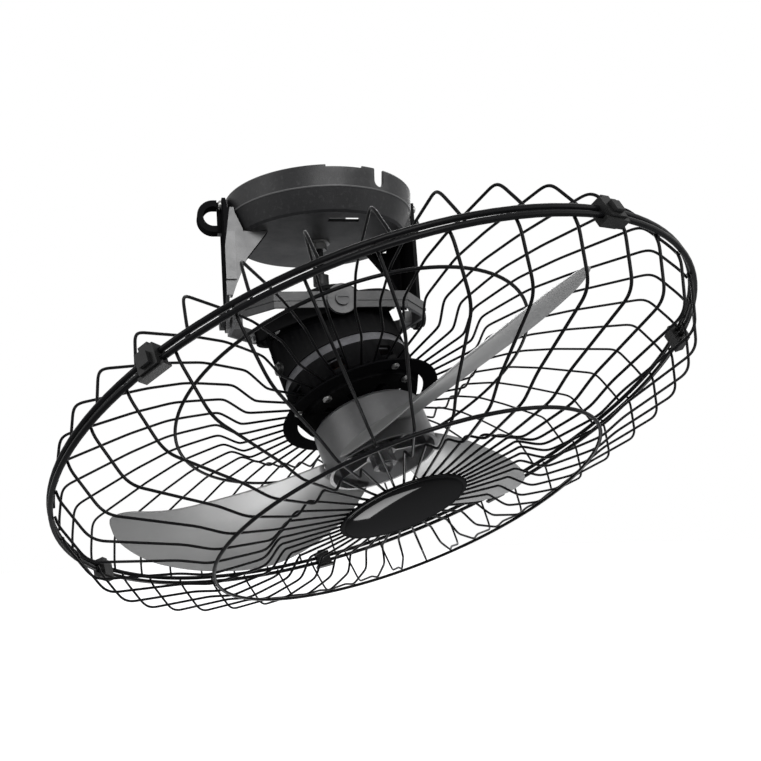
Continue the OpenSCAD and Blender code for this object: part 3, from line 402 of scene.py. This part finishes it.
def wires(name, points, phase, node):
    path = rounded(points)
    verts, faces = [], []
    for w in range(WIRES):
        turn = HEAD_FRAME @ Matrix.Rotation(math.radians(phase + w * 360 / WIRES), 4, "Z")
        faces += bands(len(path), WIRE_SIDES, len(verts))
        for i, p in enumerate(path):
            d = (path[min(i + 1, len(path) - 1)] - path[max(i - 1, 0)]).normalized()
            across = Vector((d.y, -d.x))
            for k in range(WIRE_SIDES):
                a = math.tau * k / WIRE_SIDES
                q = p + across * (WIRE_R * math.cos(a))
                verts.append(turn @ (Vector((q.x, WIRE_R * math.sin(a), -q.y)) * MM))
    piece(name, verts, faces, "head", WIRE, node)


wires("rear_wires_round", REAR, REAR_PHASE, "rear_wires")
wires("front_wires_round", FRONT, 0.0, "front_wires")

# ---------------------------------------------------------------- blades
# The leading and trailing edges' angles in degrees and depths, each at a radius.
BLADE_ROOT = 42.35
BLADE_TIP = 200.0
LEAD = [(42, 57), (80, 58), (120, 60), (160, 62), (200, 65)]
TRAIL = [(42, -24), (80, -1), (120, 18), (160, 36), (200, 53)]
LEAD_Z = [(42, 123), (80, 126), (120, 128), (160, 128), (200, 121)]
TRAIL_Z = [(42, 131), (80, 150), (120, 160), (160, 153), (200, 137)]
CAMBER = 3  # rise of the blade's middle over the line between its edges
TIP_START = 0.87  # share of the length at which the tip begins to round off
TIP_WIDTH = 0.25  # share of the width that is left at the very end
HALF_THICK = 1.05
MIDDLE = 1.1  # height of the blade's middle over its lower face in the CAD
RIM_SHARE = 0.25  # the rims thin down towards this
EDGE_TAPER = 4.5  # how fast the thickness grows from the edges
TIP_TAPER = 14  # and from the tip
TIP_CROWDING = 1.35  # faces get shorter towards the tip
ALONG_FACES = 48
ACROSS_FACES = 26


def smooth_lookup(x, table):
    """A curve through the table's points, with no corners between them."""
    n = len(table)
    i = max(0, min(n - 2, sum(1 for t in table if t[0] <= x) - 1))
    (x0, y0), (x1, y1) = table[i], table[i + 1]

    def slope(k):
        a, b = table[max(k - 1, 0)], table[min(k + 1, n - 1)]
        return (b[1] - a[1]) / (b[0] - a[0])

    h = x1 - x0
    t = (x - x0) / h
    return ((2 * t ** 3 - 3 * t ** 2 + 1) * y0 + (t ** 3 - 2 * t ** 2 + t) * h * slope(i)
            + (-2 * t ** 3 + 3 * t ** 2) * y1 + (t ** 3 - t ** 2) * h * slope(i + 1))


def blade_shape(u, v):
    """The middle of the blade's thickness, at a share of its length and of its width."""
    r = BLADE_ROOT + u * (BLADE_TIP - BLADE_ROOT)
    keep = 1.0
    if u >= TIP_START:
        past = (u - TIP_START) / (1 - TIP_START)
        keep = TIP_WIDTH + (1 - TIP_WIDTH) * math.sqrt(max(0.0, 1 - past ** 2))
    v = 0.5 + (v - 0.5) * keep
    lead, trail = smooth_lookup(r, LEAD), smooth_lookup(r, TRAIL)
    lead_z, trail_z = smooth_lookup(r, LEAD_Z), smooth_lookup(r, TRAIL_Z)
    a = math.radians(trail + v * (lead - trail))
    z = -trail_z + v * (trail_z - lead_z) + 4 * CAMBER * v * (1 - v)
    return Vector((r * math.cos(a), r * math.sin(a), z))


def blade(name, turn, node):
    place = HEAD_FRAME @ Matrix.Rotation(math.radians(turn), 4, "Z")
    verts, faces = [], []
    for side in (-1, 1):
        for i in range(ALONG_FACES + 1):
            u = 1 - (1 - i / ALONG_FACES) ** TIP_CROWDING
            for j in range(ACROSS_FACES + 1):
                v = 0.5 - 0.5 * math.cos(math.pi * j / ACROSS_FACES)
                from_edge = min(1.0, EDGE_TAPER * min(v, 1 - v) + RIM_SHARE)
                from_tip = min(1.0, TIP_TAPER * (1 - u) + RIM_SHARE)
                half = HALF_THICK * math.sqrt(from_edge * from_tip)
                p = blade_shape(u, v) + Vector((0, 0, MIDDLE + side * half))
                verts.append(place @ (p * MM))
    w = ACROSS_FACES + 1
    n = (ALONG_FACES + 1) * w
    for i in range(ALONG_FACES):
        for j in range(ACROSS_FACES):
            a = i * w + j
            faces.append((a, a + 1, a + w + 1, a + w))
            faces.append((n + a, n + a + w, n + a + w + 1, n + a + 1))
    for i in range(ALONG_FACES):
        for j in (0, ACROSS_FACES):
            a = i * w + j
            faces.append((a, a + w, n + a + w, n + a))
    for j in range(ACROSS_FACES):
        for a in (j, ALONG_FACES * w + j):
            faces.append((a, a + 1, n + a + 1, n + a))
    piece(name, verts, faces, "rotor", BLADE, node)


for i in range(3):
    blade(f"blade_smooth_{i + 1}", i * 120, f"blade_{i + 1}")

# ---------------------------------------------------------------- cap
CAP_SEAT_Z = 170.05
CAP_BACK_R = 30
ROLL_R = 1.15  # the rolled edge
ROLL_Z = 171.35
DOME_R = 44.4
DOME_Z = 172.6
DOME_H = 4.3
GROOVE = [(45.4, 172.55), (45.0, 172.35), (44.6, 172.5)]  # between the edge and the dome
CAP_SIDES = 128


def cap():
    """A shallow glossy dome with a rolled edge, closed by a flat back."""
    roll = [math.radians(a) for a in range(0, 181, 15)]
    rise = [math.radians(a) for a in range(2, 90, 4)]
    edge = [(CAP_R - ROLL_R + ROLL_R * math.sin(a), ROLL_Z - ROLL_R * math.cos(a)) for a in roll]
    dome = [(DOME_R * math.cos(a), DOME_Z + DOME_H * math.sin(a)) for a in rise]
    profile = [(CAP_BACK_R, CAP_SEAT_Z)] + edge + GROOVE + dome
    verts = []
    for r, z in profile:
        for k in range(CAP_SIDES):
            a = math.tau * k / CAP_SIDES
            verts.append(HEAD_FRAME @ (Vector((r * math.cos(a), r * math.sin(a), -z)) * MM))
    faces = bands(len(profile), CAP_SIDES)
    piece("cap_dome", verts, faces, "head", GLOSS, "cap")


cap()

# ---------------------------------------------------------------- stage
WHITE_LIGHT = (1, 1, 1, 1)
ROOM_LIGHT = (0.93, 0.95, 1, 1)
ROOM_POWER = 0.38
PAPER = (0.8, 0.8, 0.8, 1)
PAPER_ROUGH = 0.8
PAPER_GLOW = 0.9
FLOOR_Z = -1.35
FLOOR_R = 14
FLOOR_SIDES = 96
AIM = Vector((0, 0, -0.19))  # all lamps point here
# Name, place, width and height, watts, and the direction of the width.
LAMPS = (
    ("key", (0.15, -1.9, 0.62), (0.9, 0.9), 46, (1, 0, 0)),
    ("fill", (1.5, -1.0, 0.1), (1.2, 1.2), 10, (0, 1, 0)),
    ("side", (-1.7, -0.5, 0.3), (1.0, 1.0), 12, (0, 1, 0)),
    ("back", (0.6, 1.6, 0.9), (1.3, 1.3), 18, (1, 0, 0)),
    ("streak", (0.38, 0.43, -1.15), (0.42, 0.33), 10, (0.47, -0.88, 0)))


def seen_by(tree, *rays):
    """One for the named kinds of ray, nought for all others."""
    path = add(tree, "LightPath", {})
    found = path.outputs[rays[0]]
    for ray in rays[1:]:
        found = combine(tree, "MAXIMUM", found, path.outputs[ray])
    return found


def world():
    """White to the camera, to metal and through plastic, and a soft dim light on everything."""
    made = bpy.data.worlds.new("studio")
    bpy.context.scene.world = made
    made.use_nodes = True
    tree = made.node_tree
    tree.nodes.clear()
    lit = add(tree, "Background", {"Color": ROOM_LIGHT, "Strength": ROOM_POWER}).outputs[0]
    seen = add(tree, "Background", {"Color": WHITE_LIGHT, "Strength": 1.0}).outputs[0]
    share = seen_by(tree, "Is Camera Ray", "Is Glossy Ray", "Is Transmission Ray")
    mixed = add(tree, "MixShader", {0: share, 1: lit, 2: seen}).outputs[0]
    add(tree, "OutputWorld", {0: mixed})


def floor():
    """White paper that keeps the object's shadow."""
    bpy.ops.mesh.primitive_circle_add(vertices=FLOOR_SIDES, radius=FLOOR_R, fill_type="NGON",
                                      location=(0, 0, FLOOR_Z))
    sheet = bpy.context.object
    sheet.name = "floor"
    paper = bpy.data.materials.new("floor_paper")
    paper.use_nodes = True
    tree = paper.node_tree
    shader = tree.nodes["Principled BSDF"]
    shader.inputs["Base Color"].default_value = PAPER
    shader.inputs["Roughness"].default_value = PAPER_ROUGH
    share = combine(tree, "MULTIPLY", seen_by(tree, "Is Camera Ray", "Is Transmission Ray"), PAPER_GLOW)
    glow = add(tree, "Emission", {"Color": WHITE_LIGHT, "Strength": share}).outputs[0]
    both = add(tree, "AddShader", {0: shader.outputs[0], 1: glow}).outputs[0]
    tree.links.new(both, tree.nodes["Material Output"].inputs[0])
    sheet.data.materials.append(paper)


def lamp(name, spot, size, power, width_along):
    light = bpy.data.lights.new(name, "AREA")
    light.energy = power
    light.shape = "RECTANGLE"
    light.size, light.size_y = size
    made = bpy.data.objects.new(name, light)
    z = (Vector(spot) - AIM).normalized()
    x = (Vector(width_along) - z * z.dot(Vector(width_along))).normalized()
    made.matrix_world = Matrix.Translation(spot) @ Matrix((x, z.cross(x), z)).transposed().to_4x4()
    made.visible_camera = False
    bpy.context.scene.collection.objects.link(made)


world()
floor()
for row in LAMPS:
    lamp(*row)

scene = bpy.context.scene
scene.view_settings.view_transform = "Standard"
